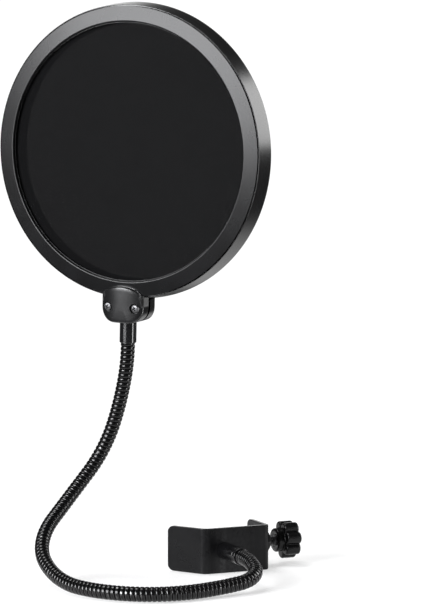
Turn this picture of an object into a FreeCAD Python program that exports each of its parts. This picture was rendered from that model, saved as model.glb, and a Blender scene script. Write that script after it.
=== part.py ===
import FreeCAD, Part
import os
from FreeCAD import Placement, Rotation, Vector
import Sketcher
from math import atan2, sqrt

# Pop filter: a round double-screen filter on a gooseneck arm with a screw clamp for a stand tube.
# The row frame has Z up from the surface the clamp stands on, X along the clamp's web and
# Y towards the back of the clamp. Its origin is on the axis of a 16 mm tube held in the jaw.

os.makedirs("parts", exist_ok=True)
doc = FreeCAD.newDocument("pop_filter")
sheet = doc.addObject("Spreadsheet::Sheet", "dims")

# All lengths are millimetres and all angles are degrees.
DIMENSIONS = {
    # clamp bracket: one bent strip of steel, seen from above as left leg, web and screw leg
    "plate_height": "24",
    "plate_thick": "2.2",
    "web_length": "37.8",
    "left_leg_length": "23.9",
    "right_leg_length": "24.5",
    "jaw_angle": "122.8",
    "crease_radius": "6",
    "crease_inner_radius": "=crease_radius - plate_thick",
    "corner_radius": "3.6",
    "right_bend_radius": "2.8",
    "right_bend_inner_radius": "=right_bend_radius - plate_thick",
    "left_end_x": "=left_leg_length * cos(jaw_angle * 1deg)",
    "left_end_y": "=left_leg_length * sin(jaw_angle * 1deg)",
    "left_inner_x": "=left_end_x + plate_thick * sin(jaw_angle * 1deg)",
    "left_inner_y": "=left_end_y - plate_thick * cos(jaw_angle * 1deg)",
    "crease_inner_x": "=plate_thick / tan(jaw_angle * 0.5deg)",
    "right_inner_x": "=web_length - plate_thick",
    # jaw axis: a tube touching both inner faces of the V
    "tube_radius": "8",
    "jaw_axis_x": "=(plate_thick + tube_radius) / tan(jaw_angle * 0.5deg)",
    "jaw_axis_y": "=plate_thick + tube_radius",
    # ferrule seat on the web
    "seat_x": "11",
    "seat_z": "12.12",
    "seat_hole_radius": "1.6",
    "sink_radius": "3.2",
    "sink_floor_y": "=plate_thick - 1.7",
    # clamp screw, along X above the jaw
    "screw_y": "14.5",
    "screw_z": "12.9",
    "screw_radius": "2.97",
    "screw_hole_radius": "3.3",
    "screw_start_x": "10.3",
    "screw_end_x": "56.5",
    "screw_tip_radius": "2",
    "screw_tip_length": "2.8",
    "screw_cone_end": "=screw_tip_length + 0.6",
    "screw_length": "=screw_end_x - screw_start_x",
    "nut_flats": "10",
    "nut_height": "5",
    "nut_bore_radius": "3.03",
    "nut_corner": "=nut_flats / sqrt(3)",
    "nut_half_corner": "=nut_corner / 2",
    "nut_half_flats": "=nut_flats / 2",
    "pad_face_x": "8.4",
    "pad_radius": "6.5",
    "pad_thick": "3.2",
    "pad_boss_radius": "4",
    "pad_boss_height": "1.4",
    "pad_bore_radius": "2.06",
    "pad_bore_floor": "1.8",
    "pad_edge": "0.7",
    "pad_total": "=pad_thick + pad_boss_height",
    "pad_waist": "=pad_thick - pad_edge",
    "pad_face_radius": "=pad_radius - pad_edge",
    # knob with seven lobes
    "knob_start_x": "50.9",
    "knob_thick": "8.4",
    "knob_core_radius": "7.7",
    "lobe_radius": "3.1",
    "lobe_circle": "7.1",
    "collar_radius": "6.4",
    "collar_length": "3.6",
    "knob_bore_radius": "3",
    "knob_bore_depth": "9.3",
    "knob_edge": "0.9",
    # lower ferrule
    "ferrule_radius": "4.45",
    "ferrule_length": "22",
    "ferrule_bore_radius": "3.7",
    "ferrule_bore_start": "10.6",
    "ferrule_thread_radius": "1.52",
    "ferrule_thread_depth": "8",
    "ferrule_edge": "0.5",
    "ferrule_body_radius": "=ferrule_radius - ferrule_edge",
    "ferrule_edge_start": "=ferrule_length - ferrule_edge",
    # countersunk screw from inside the jaw
    "sink_head_radius": "3",
    "sink_shank_radius": "1.5",
    "sink_shank_length": "7.4",
    "sink_length": "9",
    "sink_below": "0.05",
    # gooseneck
    "neck_radius": "3.65",
    "neck_bore_radius": "1.9",
    "neck_cup_radius": "3.8",
    "neck_insert": "11",
    "neck_gap": "1",
    # filter head, in its own frame: Z is the filter's axis, minus Y runs down to the holder
    "opening_radius": "66.8",
    "front_radius": "75.7",
    "rear_radius": "77.5",
    "front_face_z": "7.2",
    "front_back_z": "6.1",
    "front_edge": "0.8",
    "front_edge_radius": "=front_radius - front_edge",
    "front_edge_z": "=front_face_z - front_edge",
    "opening_edge_radius": "=opening_radius + 0.5",
    "opening_edge_z": "=front_face_z - 0.5",
    "front_seat_z": "4.05",
    "spigot_inner_radius": "72.9",
    "spigot_radius": "74.3",
    "spigot_z": "1",
    "hoop_front_radius": "75.9",
    "hoop_inner_radius": "74.6",
    "hoop_front_z": "5.9",
    "hoop_rear_z": "-6.5",
    "hoop_edge": "0.7",
    "hoop_edge_radius": "=rear_radius - hoop_edge",
    "hoop_edge_z": "=hoop_rear_z + hoop_edge",
    "rear_face_z": "-4.3",
    "spacer_inner_radius": "69",
    "spacer_radius": "72.6",
    "spacer_front_z": "3.6",
    "spacer_rear_z": "-3.9",
    "screen_radius": "72.3",
    "screen_thick": "0.3",
    "front_screen_z": "3.68",
    "rear_screen_z": "-4.25",
    # holder shells
    "holder_half_width": "12.3",
    "holder_shoulder_y": "-74",
    "holder_corner_y": "-81.2",
    "holder_bottom_y": "-89.2",
    "holder_corner_x": "=holder_half_width - 8",
    "holder_corner_radius": "8",
    "holder_dome_radius": "20.1",
    "holder_crown_z": "9.4",
    "holder_arch_radius": "31.5",
    "holder_arch_half": "13",
    "holder_arch_z": "=holder_crown_z - holder_arch_radius"
    " + sqrt(holder_arch_radius ^ 2 - holder_arch_half ^ 2)",
    "holder_over_z": "12",
    "holder_past_z": "13",
    "holder_pad_height": "=holder_over_z - holder_plate_z",
    "holder_under_z": "-12",
    "holder_plate_z": "3.7",
    "holder_parting_z": "0.05",
    "holder_front_ring_z": "7.45",
    "holder_rear_ring_z": "6.75",
    "holder_ring_radius": "77.85",
    "holder_screw_x": "8",
    "holder_screw_y": "-81",
    "holder_boss_radius": "3",
    "holder_hole_radius": "1.6",
    "holder_sink_radius": "2.6",
    "holder_sink_depth": "=holder_over_z - 7",
    "holder_pilot_radius": "1.53",
    "holder_pilot_depth": "5.4",
    "holder_boss_depth": "=holder_plate_z - holder_parting_z",
    "saddle_half_width": "6",
    "saddle_top_y": "-79",
    "saddle_low_y": "-88.6",
    # upper ferrule: its groove is caught between the two shells
    "upper_top_y": "-79.6",
    "upper_mouth_y": "-100.5",
    "upper_length": "=upper_top_y - upper_mouth_y",
    "upper_bore_depth": "11.4",
    "upper_groove_start": "14",
    "upper_groove_end": "16.4",
    "upper_groove_radius": "3.6",
    "upper_edge_end": "=upper_length - ferrule_edge",
    "seat_radius": "4.5",
    "seat_below_y": "-91",
    "seat_above_y": "-79.4",
    "seat_rib_radius": "3.7",
    "seat_rib_low_y": "-86.3",
    "seat_rib_high_y": "-84.3",
    # holder screws
    "holder_head_radius": "2.35",
    "holder_head_low_z": "7.05",
    "holder_head_edge_z": "8",
    "holder_head_top_z": "8.5",
    "holder_head_flat": "1.7",
    "holder_shank_radius": "1.5",
    "holder_shank_end_z": "-5",
    "recess_half": "0.35",
    "recess_reach": "1.4",
    "recess_depth": "1",
    "neck_past_ring": "101.5",
}

# Gooseneck lengths from the clamp to the filter: arc length, bend of the arc, and the roll of
# its bending plane about the tube from the plane before.
LENGTHS = [
    (20, 18.6, 138.7),
    (22, 68.8, -45.9),
    (26, 5.6, -81.7),
    (30, 43.3, 93.8),
    (34, 34.5, -2.7),
    (34, 30.0, -45.8),
    (34, 52.3, 14.9),
    (32, 26.4, -44.9),
    (30, 25.5, -49.6),
    (26, 9.5, -7.1),
    (17.2, 8.8, -50.8),
]
WORDS = ["one", "two", "three", "four", "five", "six", "seven", "eight", "nine", "ten", "eleven"]
for word, (length, bend, roll) in zip(WORDS, LENGTHS):
    DIMENSIONS["length_" + word] = str(length)
    DIMENSIONS["bend_" + word] = str(bend)
    DIMENSIONS["roll_" + word] = str(roll)
    DIMENSIONS["bend_radius_" + word] = f"=length_{word} / (bend_{word} * pi / 180)"
    DIMENSIONS["end_x_" + word] = f"=bend_radius_{word} * (1 - cos(bend_{word} * 1deg))"
    DIMENSIONS["end_z_" + word] = f"=bend_radius_{word} * sin(bend_{word} * 1deg)"
DIMENSIONS["head_roll"] = "83.1"

for row, (alias, text) in enumerate(DIMENSIONS.items(), start=1):
    sheet.set(f"A{row}", alias)
    sheet.set(f"B{row}", text)
    sheet.setAlias(f"B{row}", alias)
doc.recompute()


def value(name):
    """A dimension, from its name, its name with a minus sign, or a plain number."""
    if not isinstance(name, str):
        return float(name)
    if name.startswith("-"):
        return -float(sheet.get(name[1:]))
    return float(sheet.get(name))


def bind(obj, prop, name):
    """Tie a property to a dimension, when it is given by name."""
    if isinstance(name, str):
        sign = "-" if name.startswith("-") else ""
        obj.setExpression(prop, f"{sign}dims.{name.lstrip('-')}")


def body(label):
    new = doc.addObject("PartDesign::Body", label)
    new.Label = label
    return new


def sketch_on(owner, plane, name, shift=(0, 0, 0)):
    """A sketch on one of the body's origin planes, shifted in the sketch's own axes."""
    new = owner.newObject("Sketcher::SketchObject", f"{owner.Label}_{name}")
    support = [f for f in owner.Origin.OriginFeatures if f.Role == plane][0]
    new.AttachmentSupport = [(support, "")]
    new.MapMode = "FlatFace"
    new.AttachmentOffset = Placement(Vector(*[value(s) for s in shift]), Rotation())
    for axis, amount in zip("xyz", shift):
        bind(new, f"AttachmentOffset.Base.{axis}", amount)
    return new


def hold(sketch, kind, geometry, point, name):
    """Constrain one point's distance from the sketch's origin along one axis."""
    if abs(value(name)) < 1e-9:
        axis = -2 if kind == "DistanceX" else -1
        sketch.addConstraint(Sketcher.Constraint("PointOnObject", geometry, point, axis))
        return
    number = sketch.addConstraint(
        Sketcher.Constraint(kind, -1, 1, geometry, point, value(name))
    )
    bind(sketch, f"Constraints[{number}]", name)


def hold_radius(sketch, geometry, name):
    number = sketch.addConstraint(Sketcher.Constraint("Radius", geometry, value(name)))
    bind(sketch, f"Constraints[{number}]", name)


def bulge(start, end, radius, side):
    """A minor arc between two points. The arc itself always runs anticlockwise."""
    chord = end - start
    inward = Vector(-chord.y, chord.x, 0).normalize() * side
    centre = (start + end) * 0.5 + inward * sqrt(radius**2 - (chord.Length / 2) ** 2)
    first, last = (start, end) if side == 1 else (end, start)
    turns = [atan2(p.y - centre.y, p.x - centre.x) for p in (first, last)]
    return Part.ArcOfCircle(Part.Circle(centre, Vector(0, 0, 1), radius), *turns)


def outline(sketch, corners, arcs=None):
    """A closed outline through the corners. arcs maps the number of an edge to its radius
    and side: it bulges to the right of its direction when side is 1, to the left when -1."""
    arcs = arcs or {}
    points = [Vector(value(x), value(y), 0) for x, y in corners]
    ends = []
    for i, start in enumerate(points):
        end = points[(i + 1) % len(points)]
        radius, side = arcs.get(i, (None, 1))
        if radius is None:
            sketch.addGeometry(Part.LineSegment(start, end), False)
        else:
            sketch.addGeometry(bulge(start, end, value(radius), side), False)
        ends.append((1, 2) if side == 1 else (2, 1))
    for i, (x, y) in enumerate(corners):
        after = (i + 1) % len(points)
        sketch.addConstraint(
            Sketcher.Constraint("Coincident", i, ends[i][1], after, ends[after][0])
        )
        hold(sketch, "DistanceX", i, ends[i][0], x)
        hold(sketch, "DistanceY", i, ends[i][0], y)
    for i, (radius, side) in arcs.items():
        hold_radius(sketch, i, radius)


def circle(sketch, x, y, radius):
    centre = Vector(value(x), value(y), 0)
    number = sketch.addGeometry(Part.Circle(centre, Vector(0, 0, 1), value(radius)), False)
    hold(sketch, "DistanceX", number, 3, x)
    hold(sketch, "DistanceY", number, 3, y)
    hold_radius(sketch, number, radius)


def pad(owner, sketch, length, name="pad", back=False):
    new = owner.newObject("PartDesign::Pad", f"{owner.Label}_{name}")
    new.Profile = sketch
    new.Length = value(length)
    bind(new, "Length", length)
    new.Reversed = back
    return new


def pocket(owner, sketch, name, depth=None, back=False):
    """A pocket away from the sketch's normal, or along it when back is true. It goes all
    the way through when no depth is given."""
    new = owner.newObject("PartDesign::Pocket", f"{owner.Label}_{name}")
    new.Profile = sketch
    if depth is None:
        new.Type = "ThroughAll"
    else:
        new.Length = value(depth)
        bind(new, "Length", depth)
    new.Reversed = back
    return new


def turned(owner, sketch, name="turned", cut=False):
    """A full turn of a sketch about its own vertical axis, added or cut away."""
    kind = "PartDesign::Groove" if cut else "PartDesign::Revolution"
    new = owner.newObject(kind, f"{owner.Label}_{name}")
    new.Profile = sketch
    new.ReferenceAxis = (sketch, ["V_Axis"])
    new.Angle = 360
    return new


def round_edges(owner, feature, name, radius, wanted):
    """Fillet the edges of a feature whose middle, direction and length pass the test."""
    doc.recompute()
    found = []
    for number, edge in enumerate(feature.Shape.Edges, start=1):
        middle = edge.valueAt((edge.FirstParameter + edge.LastParameter) / 2)
        if wanted(middle, edge.tangentAt(edge.FirstParameter), edge.Length):
            found.append(f"Edge{number}")
    new = owner.newObject("PartDesign::Fillet", f"{owner.Label}_{name}")
    new.Base = (feature, found)
    new.Radius = value(radius)
    bind(new, "Radius", radius)
    return new


def turned_piece(label, corners):
    """A ring or shaft turned from its half section of (radius, height) corners."""
    new = body(label)
    section = sketch_on(new, "XZ_Plane", "section")
    outline(section, corners)
    turned(new, section)
    return new


def cross_recess(owner, height):
    """A cross-shaped driver recess, cut down into a screw head from a height."""
    w, r = "recess_half", "recess_reach"
    cross = sketch_on(owner, "XY_Plane", "cross", (0, 0, height))
    outline(cross, [
        (r, "-" + w), (r, w), (w, w), (w, r), ("-" + w, r), ("-" + w, w),
        ("-" + r, w), ("-" + r, "-" + w), ("-" + w, "-" + w), ("-" + w, "-" + r),
        (w, "-" + r), (w, "-" + w),
    ])
    pocket(owner, cross, "recess", "recess_depth")


parts = []
origin = Vector(-value("jaw_axis_x"), -value("jaw_axis_y"), 0)
along_x = Rotation(Vector(0, 1, 0), 90)
out_of_web = Rotation(Vector(1, 0, 0), 90)


def place(obj, base, rotation):
    """Set a finished sub-part in the row frame and list it for writing."""
    obj.Placement = Placement(base, rotation)
    parts.append(obj)


# ---- clamp bracket: the bent strip, with its bends, corners and two holes
bracket = body("clamp_bracket")
strip = sketch_on(bracket, "XY_Plane", "strip")
outline(strip, [
    ("left_end_x", "left_end_y"), (0, 0), ("web_length", 0),
    ("web_length", "right_leg_length"), ("right_inner_x", "right_leg_length"),
    ("right_inner_x", "plate_thick"), ("crease_inner_x", "plate_thick"),
    ("left_inner_x", "left_inner_y"),
])
bent = pad(bracket, strip, "plate_height")
for name, radius, x, y in (
    ("crease", "crease_radius", 0, 0),
    ("crease_inside", "crease_inner_radius", "crease_inner_x", "plate_thick"),
    ("bend", "right_bend_radius", "web_length", 0),
    ("bend_inside", "right_bend_inner_radius", "right_inner_x", "plate_thick"),
):
    bent = round_edges(
        bracket, bent, name, radius,
        lambda m, d, n: abs(d.z) > 0.99 and abs(m.x - value(x)) + abs(m.y - value(y)) < 0.05,
    )
bent = round_edges(
    bracket, bent, "corners", "corner_radius",
    lambda m, d, n: abs(d.z) < 0.01 and abs(n - value("plate_thick")) < 0.01
    and min(m.z, value("plate_height") - m.z) < 0.01 and m.y > 12,
)
seat_hole = sketch_on(bracket, "XZ_Plane", "seat_hole")
circle(seat_hole, "seat_x", "seat_z", "seat_hole_radius")
pocket(bracket, seat_hole, "seat")
sink = sketch_on(bracket, "XY_Plane", "sink", ("seat_x", 0, "seat_z"))
outline(sink, [
    (0, "sink_floor_y"), ("seat_hole_radius", "sink_floor_y"),
    ("sink_radius", "plate_thick"), (0, "plate_thick"),
])
turned(bracket, sink, "countersink", cut=True)
screw_hole = sketch_on(bracket, "YZ_Plane", "screw_hole", (0, 0, "web_length"))
circle(screw_hole, "screw_y", "screw_z", "screw_hole_radius")
pocket(bracket, screw_hole, "screw_bore", "plate_thick")
place(bracket, origin, Rotation())

# ---- clamp screw line: nut, screw, knob and pressure pad
screw_line = origin + Vector(0, value("screw_y"), value("screw_z"))
nut = body("clamp_nut")
hexagon = sketch_on(nut, "XY_Plane", "hexagon")
c, h, f = "nut_corner", "nut_half_corner", "nut_half_flats"
outline(hexagon, [
    (c, 0), (h, f), ("-" + h, f), ("-" + c, 0), ("-" + h, "-" + f), (h, "-" + f),
])
pad(nut, hexagon, "nut_height")
nut_bore = sketch_on(nut, "XY_Plane", "bore")
circle(nut_bore, 0, 0, "nut_bore_radius")
pocket(nut, nut_bore, "thread", back=True)
place(nut, screw_line + Vector(value("web_length"), 0, 0), along_x)

screw = turned_piece("clamp_screw", [
    (0, 0), ("screw_tip_radius", 0), ("screw_tip_radius", "screw_tip_length"),
    ("screw_radius", "screw_cone_end"), ("screw_radius", "screw_length"),
    (0, "screw_length"),
])
place(screw, screw_line + Vector(value("screw_start_x"), 0, 0), along_x)

knob = body("knob")
core = sketch_on(knob, "XY_Plane", "core")
circle(core, 0, 0, "knob_core_radius")
pad(knob, core, "knob_thick", "core_pad")
lobe = sketch_on(knob, "XY_Plane", "lobe")
circle(lobe, "lobe_circle", 0, "lobe_radius")
lobe_pad = pad(knob, lobe, "knob_thick", "lobe_pad")
lobes = knob.newObject("PartDesign::PolarPattern", "knob_lobes")
lobes.Originals = [lobe_pad]
lobes.Axis = ([f for f in knob.Origin.OriginFeatures if f.Role == "Z_Axis"][0], [""])
lobes.Angle = 360
lobes.Occurrences = 7
knob.Tip = lobes
rim = round_edges(
    knob, lobes, "rim", "knob_edge",
    lambda m, d, n: abs(d.z) < 0.01 and Vector(m.x, m.y, 0).Length > value("knob_core_radius"),
)
collar = sketch_on(knob, "XY_Plane", "collar")
circle(collar, 0, 0, "collar_radius")
pad(knob, collar, "collar_length", "collar_pad", back=True)
knob_bore = sketch_on(knob, "XY_Plane", "bore", (0, 0, "-collar_length"))
circle(knob_bore, 0, 0, "knob_bore_radius")
pocket(knob, knob_bore, "blind_bore", "knob_bore_depth", back=True)
place(knob, screw_line + Vector(value("knob_start_x"), 0, 0), along_x)

pressure_pad = turned_piece("pressure_pad", [
    (0, 0), ("pad_face_radius", 0), ("pad_radius", "pad_edge"), ("pad_radius", "pad_waist"),
    ("pad_face_radius", "pad_thick"), ("pad_boss_radius", "pad_thick"),
    ("pad_boss_radius", "pad_total"), ("pad_bore_radius", "pad_total"),
    ("pad_bore_radius", "pad_bore_floor"), (0, "pad_bore_floor"),
])
place(pressure_pad, screw_line + Vector(value("pad_face_x"), 0, 0), along_x)

# ---- lower ferrule on the web, and the countersunk screw that holds it from inside the jaw
seat = origin + Vector(value("seat_x"), 0, value("seat_z"))
lower_ferrule = turned_piece("lower_ferrule", [
    ("ferrule_thread_radius", 0), ("ferrule_radius", 0), ("ferrule_radius", "ferrule_edge_start"),
    ("ferrule_body_radius", "ferrule_length"), ("ferrule_bore_radius", "ferrule_length"),
    ("ferrule_bore_radius", "ferrule_bore_start"), (0, "ferrule_bore_start"),
    (0, "ferrule_thread_depth"), ("ferrule_thread_radius", "ferrule_thread_depth"),
])
place(lower_ferrule, seat, out_of_web)
ferrule_screw = turned_piece("ferrule_screw", [
    (0, 0), ("sink_shank_radius", 0), ("sink_shank_radius", "sink_shank_length"),
    ("sink_head_radius", "sink_length"), (0, "sink_length"),
])
cross_recess(ferrule_screw, "sink_length")
head_face = Vector(0, value("plate_thick") - value("sink_length") - value("sink_below"), 0)
place(ferrule_screw, seat + head_face, Rotation(Vector(1, 0, 0), -90))


# ---- gooseneck: curved lengths of tube, each ending in a cup for the round start of the next
def neck_length(word, first, last):
    """One length, starting at its own origin along Z and bending towards X."""
    name = f"neck_{word}"
    tube_at = Placement(Vector(value("bend_radius_" + word), 0, 0), Rotation(Vector(0, 1, 1), 180))
    end = Vector(value("end_x_" + word), 0, value("end_z_" + word))
    end_turn = Rotation(Vector(0, 1, 0), value("bend_" + word))

    def solid(kind, suffix, radius):
        made = doc.addObject(kind, f"{name}_{suffix}")
        bind(made, "Radius2" if kind == "Part::Torus" else "Radius", radius)
        return made

    def arc(suffix, radius):
        made = solid("Part::Torus", suffix, radius)
        bind(made, "Radius1", "bend_radius_" + word)
        bind(made, "Angle3", "bend_" + word)
        made.Placement = tube_at
        bind(made, "Placement.Base.x", "bend_radius_" + word)
        return made

    def rod(suffix, radius, at):
        made = solid("Part::Cylinder", suffix, radius)
        bind(made, "Height", "neck_insert")
        made.Placement = at
        return made

    outside, inside = [arc("tube", "neck_radius")], [arc("bore", "neck_bore_radius")]
    before = Placement(Vector(0, 0, -value("neck_insert")), Rotation())
    inside.append(rod("start_bore", "neck_bore_radius", before))
    if first:
        outside.append(rod("insert", "neck_radius", before))
    else:
        ball = solid("Part::Sphere", "ball", "neck_radius")
        ball.Angle1, ball.Angle2 = -90, 0
        outside.append(ball)
    if last:
        outside.append(rod("insert", "neck_radius", Placement(end, end_turn)))
        inside.append(rod("end_bore", "neck_bore_radius", Placement(end, end_turn)))
    else:
        cup = solid("Part::Sphere", "cup", "neck_cup_radius")
        bind(cup, "Placement.Base.x", "end_x_" + word)
        bind(cup, "Placement.Base.z", "end_z_" + word)
        inside.append(cup)
    joined = doc.addObject("Part::MultiFuse", f"{name}_outside")
    joined.Shapes = outside
    hollow = doc.addObject("Part::MultiFuse", f"{name}_inside")
    hollow.Shapes = inside
    made = doc.addObject("Part::Cut", f"gooseneck_{word}")
    made.Base, made.Tool = joined, hollow
    made.Label = f"gooseneck_{word}"
    return made, Placement(end, end_turn)


start = Vector(0, -(value("ferrule_length") + value("neck_gap")), 0)
frame = Placement(seat + start, Rotation(Vector(0, 0, 1), Vector(1, 0, 0), Vector(0, -1, 0), "ZXY"))
for word in WORDS:
    frame = frame * Placement(Vector(), Rotation(Vector(0, 0, 1), value("roll_" + word)))
    piece, end = neck_length(word, word == WORDS[0], word == WORDS[-1])
    place(piece, frame.Base, frame.Rotation)
    frame = frame * end

# ---- filter head, built in its own frame and set on the end of the gooseneck
roll = Rotation(Vector(0, 0, 1), value("head_roll"))
neck_end = frame * Placement(Vector(0, 0, value("neck_past_ring")), roll)
up = neck_end.Rotation.multVec(Vector(0, 0, 1))
facing = neck_end.Rotation.multVec(Vector(1, 0, 0))
head = Placement(neck_end.Base, Rotation(up.cross(facing), up, facing, "ZXY"))


def place_on_head(obj):
    place(obj, head.Base, head.Rotation)


upper_ferrule = turned_piece("upper_ferrule", [
    ("ferrule_bore_radius", 0), ("ferrule_body_radius", 0), ("ferrule_radius", "ferrule_edge"),
    ("ferrule_radius", "upper_groove_start"), ("upper_groove_radius", "upper_groove_start"),
    ("upper_groove_radius", "upper_groove_end"), ("ferrule_radius", "upper_groove_end"),
    ("ferrule_radius", "upper_edge_end"), ("ferrule_body_radius", "upper_length"),
    (0, "upper_length"), (0, "upper_bore_depth"), ("ferrule_bore_radius", "upper_bore_depth"),
])
mouth = head * Placement(Vector(0, value("upper_mouth_y"), 0), Rotation(Vector(1, 0, 0), -90))
place(upper_ferrule, mouth.Base, mouth.Rotation)


def holder_shell(label, ring_z, hole_radius):
    """One half of the holder: an arched plate with two screw bosses and a saddle for the
    ferrule, cut clear of the ring it grips."""
    shell = body(label)
    plan = sketch_on(shell, "XY_Plane", "plan", (0, 0, "holder_plate_z"))
    w, k = "holder_half_width", "holder_corner_x"
    outline(plan, [
        (w, "holder_shoulder_y"), ("-" + w, "holder_shoulder_y"), ("-" + w, "holder_corner_y"),
        ("-" + k, "holder_bottom_y"), (k, "holder_bottom_y"), (w, "holder_corner_y"),
    ], {
        0: ("holder_dome_radius", 1),
        2: ("holder_corner_radius", 1),
        4: ("holder_corner_radius", 1),
    })
    pad(shell, plan, "holder_pad_height", "plate")
    for side, x in (("left", "-holder_screw_x"), ("right", "holder_screw_x")):
        boss = sketch_on(shell, "XY_Plane", side + "_boss", (0, 0, "holder_plate_z"))
        circle(boss, x, "holder_screw_y", "holder_boss_radius")
        pad(shell, boss, "holder_boss_depth", side + "_boss_pad", back=True)
    saddle = sketch_on(shell, "XY_Plane", "saddle", (0, 0, "holder_plate_z"))
    s = "saddle_half_width"
    outline(saddle, [
        ("-" + s, "saddle_low_y"), (s, "saddle_low_y"), (s, "saddle_top_y"),
        ("-" + s, "saddle_top_y"),
    ])
    pad(shell, saddle, "holder_boss_depth", "saddle_pad", back=True)
    arch = sketch_on(shell, "XZ_Plane", "arch")
    a = "holder_arch_half"
    outline(arch, [
        ("-" + a, "holder_arch_z"), (a, "holder_arch_z"), (a, "holder_past_z"),
        ("-" + a, "holder_past_z"),
    ], {0: ("holder_arch_radius", -1)})
    pocket(shell, arch, "arch_cut", back=True)
    ring_space = sketch_on(shell, "XZ_Plane", "ring_space")
    outline(ring_space, [
        (0, "holder_under_z"), ("holder_ring_radius", "holder_under_z"),
        ("holder_ring_radius", ring_z), (0, ring_z),
    ])
    turned(shell, ring_space, "ring_clearance", cut=True)
    seat_space = sketch_on(shell, "XY_Plane", "seat_space")
    r, t = "seat_radius", "seat_rib_radius"
    outline(seat_space, [
        (0, "seat_below_y"), (r, "seat_below_y"), (r, "seat_rib_low_y"), (t, "seat_rib_low_y"),
        (t, "seat_rib_high_y"), (r, "seat_rib_high_y"), (r, "seat_above_y"), (0, "seat_above_y"),
    ])
    turned(shell, seat_space, "ferrule_seat", cut=True)
    holes = sketch_on(shell, "XY_Plane", "holes")
    for x in ("-holder_screw_x", "holder_screw_x"):
        circle(holes, x, "holder_screw_y", hole_radius)
    return shell, holes


front_shell, holes = holder_shell("holder_front", "holder_front_ring_z", "holder_hole_radius")
pocket(front_shell, holes, "screw_holes", back=True)
sinks = sketch_on(front_shell, "XY_Plane", "sinks", (0, 0, "holder_over_z"))
for x in ("-holder_screw_x", "holder_screw_x"):
    circle(sinks, x, "holder_screw_y", "holder_sink_radius")
pocket(front_shell, sinks, "head_sinks", "holder_sink_depth")
place_on_head(front_shell)
rear_shell, holes = holder_shell("holder_rear", "holder_rear_ring_z", "holder_pilot_radius")
pocket(rear_shell, holes, "pilot_holes", "holder_pilot_depth", back=True)
turned_over = head.Rotation * Rotation(Vector(0, 1, 0), 180)
place(rear_shell, head.Base, turned_over)

screw_body = turned_piece("holder_screw", [
    (0, "holder_shank_end_z"), ("holder_shank_radius", "holder_shank_end_z"),
    ("holder_shank_radius", "holder_head_low_z"), ("holder_head_radius", "holder_head_low_z"),
    ("holder_head_radius", "holder_head_edge_z"), ("holder_head_flat", "holder_head_top_z"),
    (0, "holder_head_top_z"),
])
cross_recess(screw_body, "holder_head_top_z")
screw_body.Placement = Placement(
    Vector(value("holder_screw_x"), value("holder_screw_y"), 0), Rotation(Vector(0, 0, 1), 20)
)
bind(screw_body, "Placement.Base.x", "holder_screw_x")
bind(screw_body, "Placement.Base.y", "holder_screw_y")
other_screw = doc.addObject("Part::Mirroring", "other_holder_screw")
other_screw.Source = screw_body
other_screw.Normal = Vector(1, 0, 0)
both_screws = doc.addObject("Part::Compound", "holder_screws")
both_screws.Links = [screw_body, other_screw]
place_on_head(both_screws)

o = "opening_radius"
front_ring = turned_piece("front_ring", [
    (o, "front_seat_z"), ("spigot_inner_radius", "front_seat_z"),
    ("spigot_inner_radius", "spigot_z"), ("spigot_radius", "spigot_z"),
    ("spigot_radius", "front_back_z"), ("front_radius", "front_back_z"),
    ("front_radius", "front_edge_z"), ("front_edge_radius", "front_face_z"),
    ("opening_edge_radius", "front_face_z"), (o, "opening_edge_z"),
])
rear_ring = turned_piece("rear_ring", [
    (o, "hoop_rear_z"), ("hoop_edge_radius", "hoop_rear_z"), ("rear_radius", "hoop_edge_z"),
    ("hoop_front_radius", "hoop_front_z"), ("hoop_inner_radius", "hoop_front_z"),
    ("hoop_inner_radius", "rear_face_z"), (o, "rear_face_z"),
])
spacer_ring = turned_piece("spacer_ring", [
    ("spacer_inner_radius", "spacer_rear_z"), ("spacer_radius", "spacer_rear_z"),
    ("spacer_radius", "spacer_front_z"), ("spacer_inner_radius", "spacer_front_z"),
])
for ring in (front_ring, rear_ring, spacer_ring):
    place_on_head(ring)
for label, height in (("front_screen", "front_screen_z"), ("rear_screen", "rear_screen_z")):
    screen = body(label)
    disc = sketch_on(screen, "XY_Plane", "disc", (0, 0, height))
    circle(disc, 0, 0, "screen_radius")
    pad(screen, disc, "screen_thick")
    place_on_head(screen)

doc.recompute()
for obj in doc.Objects:
    if "Invalid" in obj.State or "Error" in obj.State:
        raise RuntimeError(f"{obj.Label} did not build: {obj.State}")
for obj in parts:
    if obj.Shape.isNull() or not obj.Shape.isValid() or not obj.Shape.Solids:
        raise RuntimeError(f"{obj.Label} has no valid solid")
for obj in parts:
    obj.Shape.exportStep(f"parts/{obj.Label}.step")
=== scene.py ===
"""Pop filter on a gooseneck with a stand clamp: the looks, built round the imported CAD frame.

Shapes are worked out in millimetres in three local frames (the clamp, the gooseneck's line and
the filter head) and written in metres in the row frame.
"""

import bmesh
import bpy
import numpy as np
from mathutils import Matrix, Vector


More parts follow.
